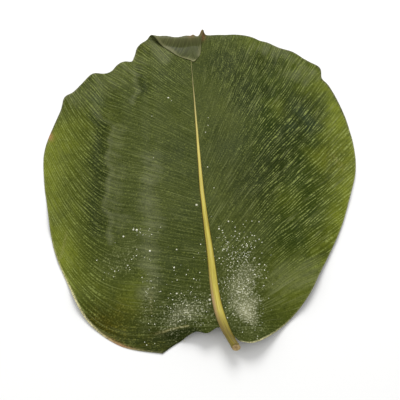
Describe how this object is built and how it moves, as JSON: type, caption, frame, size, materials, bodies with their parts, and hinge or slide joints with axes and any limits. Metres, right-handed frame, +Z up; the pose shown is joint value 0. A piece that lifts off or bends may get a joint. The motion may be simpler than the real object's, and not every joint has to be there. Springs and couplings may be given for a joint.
{
  "type": "moin moin leaf",
  "caption": "Broad oval wrapping leaf laid underside up, with a raised midrib, a short cut stalk, a waved margin and a bent-back drip tip.",
  "frame": {"origin": "under the middle of the leaf's box, on the surface that it lies on", "axes": "+Z up, out of the side that shows; +Y from the cut stalk to the bent tip; +X to the right when seen from the stalk"},
  "size_m": [0.3042, 0.3706, 0.0229],
  "materials": {
    "leaf": "satin green with a yellow-tan midrib"
  },
  "bodies": {
    "root": {"leaf": "leaf"}
  },
  "joints": []
}
